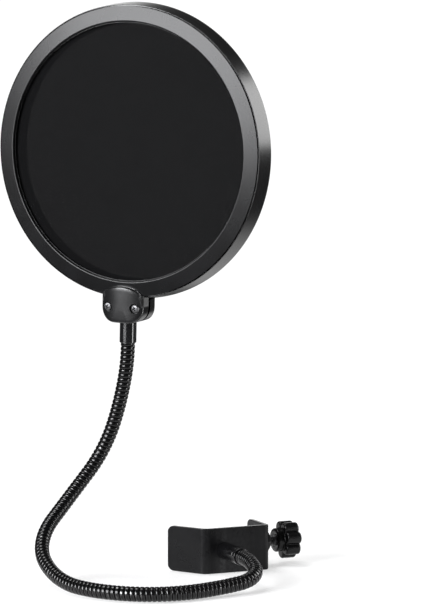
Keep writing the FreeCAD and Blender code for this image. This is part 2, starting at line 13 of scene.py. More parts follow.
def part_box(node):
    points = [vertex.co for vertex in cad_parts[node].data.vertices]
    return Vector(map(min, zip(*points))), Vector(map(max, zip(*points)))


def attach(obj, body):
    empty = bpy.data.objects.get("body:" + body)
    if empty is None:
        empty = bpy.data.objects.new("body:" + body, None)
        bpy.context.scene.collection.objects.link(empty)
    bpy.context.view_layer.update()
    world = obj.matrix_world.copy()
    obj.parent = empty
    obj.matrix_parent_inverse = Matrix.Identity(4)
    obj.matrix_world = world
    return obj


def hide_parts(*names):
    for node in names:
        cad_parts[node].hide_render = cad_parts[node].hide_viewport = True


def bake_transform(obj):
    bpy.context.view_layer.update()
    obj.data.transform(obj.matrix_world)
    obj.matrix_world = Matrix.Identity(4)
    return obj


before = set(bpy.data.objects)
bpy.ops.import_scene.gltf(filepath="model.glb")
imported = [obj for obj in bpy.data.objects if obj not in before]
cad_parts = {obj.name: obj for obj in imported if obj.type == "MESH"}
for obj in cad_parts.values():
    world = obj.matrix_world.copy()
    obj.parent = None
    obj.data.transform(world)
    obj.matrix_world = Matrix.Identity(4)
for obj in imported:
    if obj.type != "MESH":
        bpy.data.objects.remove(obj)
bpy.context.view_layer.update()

MM = 0.001
TAU = 2 * np.pi
QUARTER = np.pi / 2


# ---------------------------------------------------------------- materials
def node_tree(name):
    """A new material with its node tree and main shader."""
    material = bpy.data.materials.new(name)
    material.use_nodes = True
    tree = material.node_tree
    return material, tree, tree.nodes["Principled BSDF"]


def add(tree, kind, **values):
    """A node with its properties and input sockets set by name."""
    node = tree.nodes.new(kind)
    for key, value in values.items():
        if hasattr(node, key):
            setattr(node, key, value)
        else:
            node.inputs[key.replace("_", " ")].default_value = value
    return node


def noise(tree, coordinates, scale, detail=4.0, rough=0.55):
    """Noise over the given coordinates, in features per metre."""
    node = add(tree, "ShaderNodeTexNoise", Scale=scale, Detail=detail, Roughness=rough)
    tree.links.new(coordinates, node.inputs["Vector"])
    return node.outputs["Fac"]


def spread(tree, source, low, high, start=0.3, end=0.7):
    """A value's stretch from start to end, where most noise lies, spread over low to high."""
    node = add(tree, "ShaderNodeMapRange")
    node.inputs["From Min"].default_value = start
    node.inputs["From Max"].default_value = end
    node.inputs["To Min"].default_value = low
    node.inputs["To Max"].default_value = high
    tree.links.new(source, node.inputs["Value"])
    return node.outputs["Result"]


def tint(tree, factor, dark, light):
    """A colour between the dark one and the light one."""
    node = add(tree, "ShaderNodeMix", data_type="RGBA")
    node.inputs["A"].default_value = (*dark, 1)
    node.inputs["B"].default_value = (*light, 1)
    tree.links.new(factor, node.inputs["Factor"])
    return node.outputs["Result"]


def bump(tree, height, distance, strength=1.0):
    """A normal tilted by a height, which is worth the given distance in metres."""
    node = add(tree, "ShaderNodeBump", Strength=strength, Distance=distance)
    tree.links.new(height, node.inputs["Height"])
    return node.outputs["Normal"]


# Features per metre of the mottling and of the pale edge marks, and the marks' colour.
# The pale edge marks are partly scuffs and partly a painted highlight.
MOTTLE = 60
SCUFF_AND_HIGHLIGHT_DETAIL = 500
WORN_EDGE_AND_HIGHLIGHT = (0.22, 0.22, 0.225, 1)


def worn_and_highlit_edges(tree, where, colour, wear_and_highlight):
    """A colour with pale marks, patchy and only on edges that stand out, where the pointiness
    is above the 0.5 of a flat surface. The marks are partly scuffs and partly a painted highlight."""
    edge = add(tree, "ShaderNodeNewGeometry").outputs["Pointiness"]
    scuffs_and_highlight = add(tree, "ShaderNodeMath", operation="MULTIPLY")
    tree.links.new(spread(tree, edge, 0, 1, 0.52, 0.6), scuffs_and_highlight.inputs[0])
    tree.links.new(spread(tree, noise(tree, where, SCUFF_AND_HIGHLIGHT_DETAIL), 0, wear_and_highlight), scuffs_and_highlight.inputs[1])
    # Pale marks on edges that stand out: partly scuffs, partly a painted highlight.
    worn_and_lit = add(tree, "ShaderNodeMix", data_type="RGBA")
    worn_and_lit.inputs["B"].default_value = WORN_EDGE_AND_HIGHLIGHT
    tree.links.new(scuffs_and_highlight.outputs[0], worn_and_lit.inputs["Factor"])
    tree.links.new(colour, worn_and_lit.inputs["A"])
    return worn_and_lit.outputs["Result"]


def moulded(name, dark, light, rough, grain=1200, depth=0.000002, specular=0.5, wear_and_highlight=0.0,
            metallic=0.0, turned=None, crests=False):
    """Plastic, paint or metal: mottled colour and gloss, and a fine grain.

    grain is in features per metre and depth in metres. wear_and_highlight gives paler edges: pale
    marks that are partly scuffs and partly a painted highlight. turned names the axis that a part
    was turned about, which stretches its highlights. With crests, only the ridges shine.
    """
    material, tree, shader = node_tree(name)
    where = add(tree, "ShaderNodeTexCoord").outputs["Object"]
    cloud = noise(tree, where, MOTTLE, 5)
    fine = noise(tree, where, grain, 3, 0.6)
    colour = tint(tree, spread(tree, cloud, 0, 1), dark, light)
    # Pale edge marks: partly scuffs, partly a painted highlight.
    if wear_and_highlight:
        colour = worn_and_highlit_edges(tree, where, colour, wear_and_highlight)
    tree.links.new(colour, shader.inputs["Base Color"])
    tree.links.new(spread(tree, cloud, rough * 0.96, rough * 1.04), shader.inputs["Roughness"])
    tree.links.new(bump(tree, fine, depth), shader.inputs["Normal"])
    shader.inputs["Specular IOR Level"].default_value = specular
    if crests:
        # The valleys, below a pointiness of 0.5, mirror next to nothing.
        ridges = add(tree, "ShaderNodeNewGeometry").outputs["Pointiness"]
        tree.links.new(spread(tree, ridges, 0.04, specular, 0.5, 0.56),
                       shader.inputs["Specular IOR Level"])
    if turned:
        around = add(tree, "ShaderNodeTangent", direction_type="RADIAL", axis=turned)
        tree.links.new(around.outputs["Tangent"], shader.inputs["Tangent"])
        shader.inputs["Anisotropic"].default_value = 0.8
        shader.inputs["Anisotropic Rotation"].default_value = 0.25
    shader.inputs["Metallic"].default_value = metallic
    return material


# Metres from one band of a wave texture to the next, at a scale of one.
WAVE_STEP = 0.314


def knitted(name, dark, light, pitch):
    """Fine knitted nylon: crossed rows of threads, bumped and partly open between them."""
    material, tree, shader = node_tree(name)
    flat = add(tree, "ShaderNodeUVMap").outputs["UV"]
    waves = []
    for direction in ("X", "Y"):
        wave = add(tree, "ShaderNodeTexWave", wave_type="BANDS", bands_direction=direction,
                   Scale=WAVE_STEP / pitch, Distortion=0.0)
        tree.links.new(flat, wave.inputs["Vector"])
        waves.append(wave.outputs["Fac"])
    threads = add(tree, "ShaderNodeMath", operation="MAXIMUM")
    tree.links.new(waves[0], threads.inputs[0])
    tree.links.new(waves[1], threads.inputs[1])
    cloud = noise(tree, flat, 90, 4)
    fuzz = add(tree, "ShaderNodeMath", operation="MULTIPLY")
    tree.links.new(threads.outputs[0], fuzz.inputs[0])
    tree.links.new(spread(tree, cloud, 0.75, 1), fuzz.inputs[1])
    tree.links.new(tint(tree, fuzz.outputs[0], dark, light), shader.inputs["Base Color"])
    tree.links.new(bump(tree, threads.outputs[0], 0.00006, 0.6), shader.inputs["Normal"])
    # About half of the light passes between the threads, and little through them.
    tree.links.new(spread(tree, threads.outputs[0], 0.45, 0.85, 0.3, 0.8), shader.inputs["Alpha"])
    shader.inputs["Roughness"].default_value = 0.85
    shader.inputs["Specular IOR Level"].default_value = 0.1
    return material


# Mottled finishes, each as its darkest and its lightest colour.
BLACK_PLASTIC = (0.003, 0.003, 0.0032), (0.0045, 0.0045, 0.005)
SHELL_PLASTIC = (0.0035, 0.0035, 0.0038), (0.005, 0.005, 0.0054)
KNOB_PLASTIC = (0.0015, 0.0015, 0.0016), (0.003, 0.003, 0.0032)
BLACK_PAINT = (0.0033, 0.0033, 0.0037), (0.0055, 0.0055, 0.006)
BLACK_WIRE = (0.001, 0.001, 0.0011), (0.002, 0.002, 0.0022)
BLACK_PLATING = (0.002, 0.002, 0.0022), (0.004, 0.004, 0.0045)
BRIGHT_STEEL = (0.09, 0.09, 0.093), (0.14, 0.14, 0.144)
DULL_STEEL = (0.03, 0.03, 0.032), (0.07, 0.07, 0.073)
DARK_STEEL = (0.006, 0.006, 0.0063), (0.012, 0.012, 0.0125)
GREY_PLASTIC = (0.02, 0.02, 0.021), (0.03, 0.03, 0.031)
BLACK_NYLON = (0.0005, 0.0005, 0.0006), (0.0022, 0.0022, 0.0027)

RING = moulded("ring_plastic", *BLACK_PLASTIC, 0.27, specular=0.22)
HOOP = moulded("hoop_plastic", *BLACK_PLASTIC, 0.24)
SHELL = moulded("shell_plastic", *SHELL_PLASTIC, 0.25)
# The knob, the bracket and the nut get pale edge marks, partly scuffs and partly a painted
# highlight.
KNOB = moulded("knob_plastic", *KNOB_PLASTIC, 0.26, specular=0.22, wear_and_highlight=0.08)
BRACKET = moulded("bracket_paint", *BLACK_PAINT, 0.28, grain=900, depth=0.00001,
                  specular=0.13, wear_and_highlight=0.3)
NECK = moulded("neck_steel", *BLACK_WIRE, 0.21, grain=1600, depth=0.000001,
               specular=1.0, crests=True)
UPPER_FERRULE = moulded("ferrule_black", *BLACK_PLATING, 0.24, grain=900, depth=0.0000005,
                        specular=0.6, turned="Z")
LOWER_FERRULE = moulded("web_ferrule_black", *BLACK_PLATING, 0.2, grain=900, depth=0.0000005,
                        specular=0.35)
BRIGHT = moulded("bright_steel", *BRIGHT_STEEL, 0.45, grain=3000, metallic=1.0)
SHAFT = moulded("screw_steel", *DULL_STEEL, 0.34, grain=2500, depth=0.00001, metallic=0.7)
NUT = moulded("nut_steel", *DARK_STEEL, 0.36, grain=1500, depth=0.00001, specular=0.3, wear_and_highlight=0.3)
PAD = moulded("pad_plastic", *GREY_PLASTIC, 0.6, depth=0.00003)
NYLON = knitted("screen_nylon", *BLACK_NYLON, pitch=0.6 * MM)


# ---------------------------------------------------------------- local frames
def turn_about(axis, angle):
    """A turn about one of the axes, by an angle in radians."""
    return np.array(Matrix.Rotation(angle, 3, axis))


def matrix(base=(0, 0, 0), columns=np.eye(3)):
    """A local frame: where its origin is, and its three directions as columns."""
    made = np.eye(4)
    made[:3, :3] = columns
    made[:3, 3] = base
    return made


# The clamp's frame: its crease is the origin, found from the ferrule that stands on the web.
SEAT_X, SEAT_Z = 11.0, 12.12
SCREW_Y, SCREW_Z = 14.5, 12.9
ferrule_low, ferrule_high = (np.array(c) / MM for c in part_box("lower_ferrule"))
CLAMP = matrix(((ferrule_low[0] + ferrule_high[0]) / 2 - SEAT_X, ferrule_high[1], 0))
SCREW_LINE = CLAMP @ matrix((0, SCREW_Y, SCREW_Z), turn_about("Y", QUARTER))
SEAT_LINE = CLAMP @ matrix((SEAT_X, 0, SEAT_Z), turn_about("X", QUARTER))

# The gooseneck's design, from the clamp to the filter: arc length, bend, and roll of each bend,
# in millimetres and degrees.
LENGTHS = [
    (20, 18.6, 138.7), (22, 68.8, -45.9), (26, 5.6, -81.7), (30, 43.3, 93.8), (34, 34.5, -2.7),
    (34, 30.0, -45.8), (34, 52.3, 14.9), (32, 26.4, -44.9), (30, 25.5, -49.6), (26, 9.5, -7.1),
    (17.2, 8.8, -50.8),
]
WORDS = ["one", "two", "three", "four", "five", "six", "seven", "eight", "nine", "ten", "eleven"]
# How far the gooseneck's first bend is from the web, and how far each end goes into a ferrule.
NECK_START = 23.0
INSERT = 9.0
# The filter's own roll about the gooseneck's end, its centre above that end, and the ferrule's
# mouth below the centre.
HEAD_ROLL = 83.1
HEAD_RISE = 101.5
MOUTH_DROP = 100.5


def arc_step(length, bend):
    """Where a bent length ends, in the frame it starts in."""
    radius = length / bend
    at = np.array([radius * (1 - np.cos(bend)), 0, radius * np.sin(bend)])
    return at, turn_about("Y", bend)


def neck_frames():
    """The start frame of each gooseneck length, then the frame at the end of the last. The first
    length leaves the web at a right angle."""
    z, x = np.array([0, -1.0, 0]), np.array([0, 0, 1.0])
    turn = np.array([x, np.cross(z, x), z]).T
    at = (CLAMP @ np.array([SEAT_X, -NECK_START, SEAT_Z, 1]))[:3]
    out = []
    for length, bend, roll in LENGTHS:
        turn = turn @ turn_about("Z", np.radians(roll))
        out.append((at, turn))
        step, bent = arc_step(length, np.radians(bend))
        at, turn = at + turn @ step, turn @ bent
    out.append((at, turn))
    return out


NECK_FRAMES = neck_frames()
CUMULATIVE = np.cumsum([0] + [row[0] for row in LENGTHS])
end_at, end_turn = NECK_FRAMES[-1]
end_turn = end_turn @ turn_about("Z", np.radians(HEAD_ROLL))
up, facing = end_turn[:, 2], end_turn[:, 0]
HEAD = matrix(end_at + HEAD_RISE * up, np.array([np.cross(up, facing), up, facing]).T)
MOUTH = HEAD @ matrix((0, -MOUTH_DROP, 0), turn_about("X", -QUARTER))


# ---------------------------------------------------------------- meshes
def bake(obj):
    """Put what the modifiers make in the mesh itself."""
    bpy.context.view_layer.update()
    graph = bpy.context.evaluated_depsgraph_get()
    mesh = bpy.data.meshes.new_from_object(obj.evaluated_get(graph))
    obj.modifiers.clear()
    obj.data = mesh


def shade(obj, angle, broad):
    """Smooth faces, with the edges sharper than an angle left crisp. broad keeps wide faces flat
    where they meet narrow ones."""
    work = bmesh.new()
    work.from_mesh(obj.data)
    bmesh.ops.recalc_face_normals(work, faces=work.faces)
    for face in work.faces:
        face.smooth = True
    for edge in work.edges:
        sharp = len(edge.link_faces) == 2 and edge.calc_face_angle(0) > np.radians(angle)
        edge.smooth = not sharp
    work.to_mesh(obj.data)
    work.free()
    if broad:
        obj.modifiers.new("broad", "WEIGHTED_NORMAL").keep_sharp = True
        bake(obj)


def solid(name, points, faces, place=None, flat=None):
    """A mesh object from points in millimetres in a local frame. flat gives a UV per point."""
    points = np.asarray(points, float)
    if place is not None:
        points = points @ place[:3, :3].T + place[:3, 3]
    mesh = bpy.data.meshes.new(name)
    mesh.from_pydata((points * MM).tolist(), [], faces)
    if flat is not None:
        layer = mesh.uv_layers.new(name="flat")
        for loop in mesh.loops:
            layer.data[loop.index].uv = flat[loop.vertex_index]
    obj = bpy.data.objects.new(name, mesh)
    bpy.context.scene.collection.objects.link(obj)
    return obj


def finish_piece(obj, material, body, node, angle=35, broad=True):
    """Shade a piece, give it its material, tie it to its body and hide the CAD node it stands in
    for.
    """
    shade(obj, angle, broad)
    obj.data.materials.clear()
    obj.data.materials.append(material)
    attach(obj, body)
    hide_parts(node)


def combine(obj, others, operation):
    """Cut the others from obj, or join them to it, and take them away."""
    for other in others:
        step = obj.modifiers.new("step", "BOOLEAN")
        step.operation, step.solver, step.object = operation, "EXACT", other
    bake(obj)
    for other in others:
        bpy.data.objects.remove(other)


def unit(vector):
    """The same direction with a length of one."""
    return vector / np.linalg.norm(vector)


def circle(count):
    """Equally spaced angles, once round."""
    return TAU * np.arange(count) / count


def loop_at(z, radii, angles):
    """A loop of points at one height, from a radius (or one for each angle) and the angles."""
    return np.stack([radii * np.cos(angles), radii * np.sin(angles), np.full(len(angles), z)], 1)


def corners(points, closed=True, steps=5):
    """An outline with some corners rounded: each point is (x, y) or (x, y, radius)."""
    count, out = len(points), []
    for i, point in enumerate(points):
        here = np.array(point[:2], float)
        radius = point[2] if len(point) > 2 else 0
        if not radius or (not closed and i in (0, count - 1)):
            out.append(here)
            continue
        before = unit(np.array(points[i - 1][:2], float) - here)
        after = unit(np.array(points[(i + 1) % count][:2], float) - here)
        half = np.arccos(np.clip(before @ after, -1, 1)) / 2
        centre = here + unit(before + after) * radius / np.sin(half)
        first = here + before * radius / np.tan(half) - centre
        last = here + after * radius / np.tan(half) - centre
        turn = np.arctan2(first[0] * last[1] - first[1] * last[0], first @ last)
        for k in range(steps + 1):
            c, s = np.cos(turn * k / steps), np.sin(turn * k / steps)
            out.append(centre + np.array([c * first[0] - s * first[1], s * first[0] + c * first[1]]))
    return np.array(out)


def lathe(name, section, place, closed=True, segments=96, steps=5):
    """A section of (radius, height) corners turned about the local Z axis. An open section
    starts and ends on the axis."""
    points, faces, rows = [], [], []
    for radius, height in corners(section, closed, steps):
        if radius < 1e-6:
            rows.append([len(points)] * segments)
            points.append((0, 0, height))
            continue
        rows.append(list(range(len(points), len(points) + segments)))
        points.extend(loop_at(height, radius, circle(segments)))
    following = rows[1:] + rows[:1] if closed else rows[1:]
    for a, b in zip(rows, following):
        for k in range(segments):
            n = (k + 1) % segments
            ring = [a[k], a[n], b[n], b[k]]
            face = [v for i, v in enumerate(ring) if v not in ring[:i]]
            if len(face) > 2:
                faces.append(face)
    return solid(name, points, faces, place)


def stack(name, loops, place=None):
    """Closed loops of equal count, skinned in order and capped at both ends."""
    count = len(loops[0])
    points = np.concatenate([np.asarray(loop, float) for loop in loops])
    faces = []
    for row in range(len(loops) - 1):
        for k in range(count):
            n = (k + 1) % count
            a = row * count
            faces.append([a + k, a + n, a + count + n, a + count + k])
    faces.append(list(range(count))[::-1])
    faces.append(list(range((len(loops) - 1) * count, len(loops) * count)))
    return solid(name, points, faces, place)


def prism(name, outline, low, high, place):
    """An outline of (x, y) corners, from one height to another."""
    plan = corners(outline)
    return stack(name, [[(x, y, z) for x, y in plan] for z in (low, high)], place)


def rod(name, radius, low, high, place, segments=48):
    """A plain cylinder along the local Z axis, from one height to another."""
    return stack(name, [loop_at(z, radius, circle(segments)) for z in (low, high)], place)


def tapered_cross(height, place, turn=0.0):
    """A cross-shaped driver recess that narrows with depth, to be cut from a screw head."""
    reach, half_width, depth, above = 1.45, 0.36, 1.1, 0.4
    c, s = np.cos(turn), np.sin(turn)
    loops = []
    for z, share in ((height - depth, 0.35), (height, 1.0), (height + above, 1.12)):
        w, r = half_width * (0.6 + 0.4 * share), reach * share
        plan = [(r, -w), (r, w), (w, w), (w, r), (-w, r), (-w, w),
                (-r, w), (-r, -w), (-w, -w), (-w, -r), (w, -r), (w, -w)]
        loops.append([(c * a - s * b, s * a + c * b, z) for a, b in plan])
    return stack("cross", loops, place)


# ---------------------------------------------------------------- gooseneck
# The wound wire: its pitch, its outer and inner radius, and how full its crests are.
PITCH = 2.45
CREST, VALLEY = 3.78, 3.08
FULLNESS = 3.0
ROWS_PER_TURN, AROUND = 12, 44


def neck_point(s):
    """Centre and direction of the gooseneck's line at an arc length, straight past its ends."""
    if s <= 0 or s >= CUMULATIVE[-1]:
        at, turn = NECK_FRAMES[0 if s <= 0 else -1]
        return at + turn[:, 2] * (s if s <= 0 else s - CUMULATIVE[-1]), turn[:, 2]
    i = int(np.searchsorted(CUMULATIVE, s, side="right")) - 1
    length, bend, _ = LENGTHS[i]
    part = (s - CUMULATIVE[i]) / length
    at, turn = NECK_FRAMES[i]
    step, bent = arc_step(length * part, max(np.radians(bend) * part, 1e-9))
    return at + turn @ step, (turn @ bent)[:, 2]


def ridge(phase):
    """Height from 0 to 1 across one turn of the wound wire: a round crest and a sharp valley."""
    across = (phase % 1 - 0.5) / 0.5
    return np.sqrt(1 - np.abs(across) ** FULLNESS)


def neck_surface():
    """Points and normals of the whole wound tube, row by row from inside the lower ferrule."""
    last = CUMULATIVE[-1] + INSERT
    rows = np.arange(-INSERT, last + 1e-6, PITCH / ROWS_PER_TURN)
    angles = circle(AROUND)
    side = np.array([1.0, 0, 0])
    points = []
    for s in rows:
        at, along = neck_point(s)
        side = unit(side - along * (side @ along))
        other = np.cross(along, side)
        radius = VALLEY + (CREST - VALLEY) * ridge(s / PITCH - angles / TAU)
        points.append(at + radius[:, None] * (np.outer(np.cos(angles), side)
                                              + np.outer(np.sin(angles), other)))
    points = np.array(points)
    around = np.roll(points, -1, 1) - np.roll(points, 1, 1)
    normals = np.cross(around, np.gradient(points, axis=0))
    normals /= np.linalg.norm(normals, axis=2)[:, :, None]
    return rows, points, normals


def build_neck():
    """One piece of wound tube across each of the ten hinges, split between the hinges."""
    rows, points, normals = neck_surface()
    middles = [(a + b) / 2 for a, b in zip(CUMULATIVE, CUMULATIVE[1:])]
    splits = [rows[0], *middles[1:-1], rows[-1]]
    cuts = [int(np.argmin(np.abs(rows - s))) for s in splits]
    hinges = len(WORDS) - 1
    for k in range(hinges):
        first, last = cuts[k], cuts[k + 1]
        obj = stack("neck_wire_" + WORDS[k], points[first : last + 1])
        faces = obj.data.polygons
        for face in faces:
            face.use_smooth = len(face.vertices) == 4
        outward = normals[first : last + 1].reshape(-1, 3)
        custom = [outward[loop.vertex_index].tolist() for loop in obj.data.loops]
        for face in faces:
            if not face.use_smooth:
                for loop in face.loop_indices:
                    custom[loop] = face.normal[:]
        obj.data.normals_split_custom_set(custom)
        obj.data.materials.append(NECK)
        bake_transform(obj)
        nodes = ["gooseneck_" + WORDS[k]] + (["gooseneck_eleven"] if k == hinges - 1 else [])
        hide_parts(*nodes)


build_neck()


# ---------------------------------------------------------------- clamp
def strip_line():
    """The outer line of the bent strip, from the end of the left leg round the V and along the
    web to the end of the screw leg, and the arc length at each of its points."""
    left_leg, left_angle = 23.9, np.radians(122.8)
    web, screw_leg = 37.8, 24.5
    outer = corners([
        (left_leg * np.cos(left_angle), left_leg * np.sin(left_angle)), (0, 0, 6.0),
        (web, 0, 2.8), (web, screw_leg),
    ], closed=False, steps=10)
    steps = np.linalg.norm(np.diff(outer, axis=0), axis=1)
    return outer, np.concatenate([[0], np.cumsum(steps)])


def drawn_in(radius, from_end):
    """How far inside its full width a rounded corner lies, at a distance from the end."""
    return radius - np.sqrt(max(0, radius**2 - max(0, radius - from_end) ** 2))


def build_bracket():
    """The bent steel strip, with rounded corners and soft edges, its seat and its screw hole."""
    height, thick, corner, edge = 24.0, 2.2, 3.6, 0.35
    line, run = strip_line()
    total = run[-1]
    # Sections stand at the line's own points, evenly between them, and closer near both ends.
    near = np.concatenate([[0, 0.12, edge], corner * (1 - np.cos(np.linspace(0, QUARTER, 9)[1:]))])
    between = np.arange(corner + 1, total - corner, 1.5)
    places = np.unique(np.round(np.concatenate([near, total - near, run[1:-1], between]), 4))
    places = places[np.concatenate([[True], np.diff(places) > 0.02])]
    directions = [unit(step) for step in np.diff(line, axis=0)]
    loops = []
    for s in places:
        i = min(int(np.searchsorted(run, s, side="right")) - 1, len(directions) - 1)
        at = line[i] + directions[i] * (s - run[i])
        along = directions[i]
        if i > 0 and abs(s - run[i]) < 1e-3:
            along = unit(directions[i - 1] + directions[i])
        inward = np.array([-along[1], along[0]])
        mitre = 1 / (along @ directions[i])
        from_end = min(s, total - s)
        shrink = drawn_in(edge, from_end)
        low = drawn_in(corner, from_end) + shrink
        high = height - low
        soft = edge - shrink / 2
        section = corners([(shrink, low, soft), (thick - shrink, low, soft),
                           (thick - shrink, high, soft), (shrink, high, soft)], steps=4)
        loops.append([(*(at + inward * d * mitre), z) for d, z in section])
    plate = stack("clamp_plate", loops, CLAMP)
    seat_radius, sink_radius, screw_hole_radius = 1.6, 3.2, 3.3
    seat = rod("seat_hole", seat_radius, -thick - 1, 1, SEAT_LINE)
    sink = lathe("sink", [
        (0, -0.5), (seat_radius, -0.5), (sink_radius, -thick), (sink_radius, -thick - 1),
        (0, -thick - 1),
    ], SEAT_LINE, closed=False, segments=48)
    hole = rod("screw_hole", screw_hole_radius, 30, 45, SCREW_LINE)
    combine(plate, [seat, sink, hole], "DIFFERENCE")
    finish_piece(plate, BRACKET, "clamp", "clamp_bracket", 30)


def build_screw():
    """The clamp screw: plain turned ends, each a run of (radius, height), and the helix between."""
    radius, depth, pitch, low, high = 2.97, 0.5, 1.0, 14.0, 47.0
    ball_end = [(1.7, 10.3), (2.0, 10.6), (2.0, 13.1), (2.9, 13.8)]
    knob_end = [(radius, 47.2), (radius, 56.3), (2.8, 56.5)]
    rows_per_turn, flank, angles = 8, 0.8, circle(40)
    rings = [loop_at(z, r, angles) for r, z in ball_end]
    for z in np.arange(low, high + 1e-6, pitch / rows_per_turn):
        phase = (z / pitch - angles / TAU) % 1
        fade = np.clip(min(z - low, high - z) / pitch, 0, 1)
        groove = depth * fade * (1 - np.abs(2 * phase - 1)) ** flank
        rings.append(loop_at(z, radius - groove, angles))
    rings += [loop_at(z, r, angles) for r, z in knob_end]
    screw = stack("screw_thread", rings, SCREW_LINE)
    finish_piece(screw, SHAFT, "screw", "clamp_screw", 50)


def build_nut():
    """The nut: a hexagon kept within circles that narrow at both faces, and its bore."""
    half_flats = 5.0
    bevels = ((37.85, 5.1), (38.3, 5.62), (38.7, 5.9), (41.9, 5.9), (42.4, 5.62), (42.8, 5.1))
    angles = circle(144)
    hexagon = half_flats / np.cos(angles % (TAU / 6) - TAU / 12)
    # With x and y swapped, a corner of the hexagon lies on the Y axis.
    rings = [loop_at(z, np.minimum(hexagon, limit), angles)[:, [1, 0, 2]] for z, limit in bevels]
    nut = stack("lock_nut", rings, SCREW_LINE)
    bore = lathe("bore", [
        (0, 37), (3.6, 37), (3.6, 37.9), (3.03, 38.4), (3.03, 42.3), (3.5, 42.8), (3.5, 43.5),
        (0, 43.5),
    ], SCREW_LINE, closed=False, segments=64)
    combine(nut, [bore], "DIFFERENCE")
    finish_piece(nut, NUT, "clamp", "clamp_nut", 25)


def build_pad():
    """The pressure pad: a grooved face, a round rim, and a collar round the screw's ball end."""
    pad = lathe("press_pad", [
        (0, 8.4), (1.6, 8.4, 0.1), (1.9, 8.65, 0.1), (2.6, 8.65, 0.1), (2.9, 8.4, 0.1),
        (6.0, 8.4, 0.5), (6.5, 9.1, 0.4), (6.5, 10.9, 0.5), (5.7, 11.6, 0.4), (4.3, 11.7, 0.3),
        (4.0, 13.0, 0.25), (2.06, 13.0, 0.15), (2.06, 10.2), (0, 10.2),
    ], SCREW_LINE, closed=False, segments=72, steps=4)
    finish_piece(pad, PAD, "pad", "pressure_pad")


def knob_outline(angles):
    """Radius at each angle: round lobes on a round core, their valleys softened, tips cut off."""
    lobes, lobe_centre, lobe_radius = 7, 7.1, 3.1
    core, widest = 7.7, 10.2
    fillet, fillet_reach = 0.16, 0.5
    rays = np.stack([np.cos(angles), np.sin(angles)], 1)
    best = np.full(len(angles), core)
    for turn in circle(lobes):
        centre = lobe_centre * np.array([np.cos(turn), np.sin(turn)])
        along = rays @ centre
        gap = along**2 - lobe_centre**2 + lobe_radius**2
        reach = np.where((gap > 0) & (along > 0), along + np.sqrt(np.maximum(gap, 0)), 0)
        best = np.maximum(best, reach) + fillet * np.exp(-np.abs(best - reach) / fillet_reach)
    return np.minimum(best, widest)


def build_knob():
    """The seven-lobed knob: a round hub, rounded rims and a dished end, bored for the screw."""
    count = 182
    angles = circle(count) + np.pi / count
    outline = knob_outline(angles)
    low, high, low_round, high_round = 50.9, 59.3, 1.1, 1.3
    arc = np.linspace(0, QUARTER, 6)

    def lobed(z, inset, scale=1.0):
        return loop_at(z, (outline - inset) * scale, angles)

    def plain(places):
        return [loop_at(z, r, angles) for z, r in places]

    hub = plain([(47.4, 3.3), (47.3, 3.6), (47.3, 5.9), (47.55, 6.25), (47.9, 6.4), (50.5, 6.4),
                 (50.85, 6.75)])
    rims = [lobed(low + low_round * (1 - np.cos(a)), low_round * (1 - np.sin(a))) for a in arc]
    rims += [lobed(high - high_round * (1 - np.sin(a)), high_round * (1 - np.cos(a))) for a in arc]
    dish = [lobed(high, high_round, 0.86), lobed(59.0, high_round, 0.82)]
    dish += plain([(58.8, 5.6), (58.8, 4.6), (59.0, 4.3), (59.25, 3.4), (high, 1.2)])
    knob = stack("lobed_knob", hub + rims + dish, SCREW_LINE)
    combine(knob, [rod("bore", 3.0, 47, 56.6, SCREW_LINE)], "DIFFERENCE")
    finish_piece(knob, KNOB, "screw", "knob", 40)


# The inner radius of a closed section where the turned piece is solid to its middle.
CENTRE = 0.01


def build_lower_ferrule():
    """The ferrule on the web, and the countersunk screw that holds it from inside the jaw."""
    ferrule = lathe("web_ferrule", [
        (1.52, 0), (4.45, 0, 0.12), (4.45, 18.6, 0.1), (4.3, 18.8, 0.1), (4.3, 19.2, 0.1),
        (4.45, 19.4, 0.1), (4.45, 22.0, 0.45), (3.7, 22.0, 0.2), (3.7, 10.6), (CENTRE, 10.6),
        (CENTRE, 8), (1.52, 8),
    ], SEAT_LINE, segments=96, steps=4)
    finish_piece(ferrule, LOWER_FERRULE, "clamp", "lower_ferrule")
    head = lathe("sunk_screw", [
        (0, 6.8), (1.5, 6.8, 0.1), (1.5, -0.55), (3.0, -2.08, 0.06), (2.85, -2.15), (0, -2.15),
    ], SEAT_LINE, closed=False, segments=64)
    from_inside = SEAT_LINE @ matrix(columns=turn_about("X", np.pi))
    combine(head, [tapered_cross(2.15, from_inside)], "DIFFERENCE")
    finish_piece(head, BRIGHT, "clamp", "ferrule_screw")


build_bracket()
build_screw()
build_nut()
build_pad()
build_knob()
build_lower_ferrule()


# ---------------------------------------------------------------- filter head
def build_rings():
    """The front ring with its rounded lip, the rear ring with the side wall, and the spacer."""
    front = lathe("face_ring", [
        (66.85, 3.98, 0.1), (72.9, 3.98), (72.9, 1.0), (74.3, 1.0), (74.3, 4.7), (75.3, 4.7),
        (75.3, 6.25, 0.1), (67.15, 7.13, 0.9), (67.15, 5.6, 0.05), (66.85, 5.6, 0.1),
    ], HEAD, segments=360, steps=8)
    finish_piece(front, RING, "filter", "front_ring", 40)
    hoop = lathe("hoop_ring", [
        (66.8, -6.5, 0.5), (76.2, -6.5, 0.6), (77.5, -5.9, 0.7), (77.1, -2.5, 4.0),
        (76.1, 5.9, 0.25), (75.85, 5.9, 0.1), (75.85, 3.2), (74.6, 3.2), (74.6, -4.3),
        (66.8, -4.3, 0.4),
    ], HEAD, segments=360, steps=6)
    finish_piece(hoop, HOOP, "filter", "rear_ring", 40)
    spacer = lathe("spacer_band", [
        (69.0, -3.9, 0.2), (72.6, -3.9, 0.2), (72.6, 3.6, 0.2), (69.0, 3.6, 0.2),
    ], HEAD, segments=240, steps=3)
    finish_piece(spacer, RING, "filter", "spacer_ring")


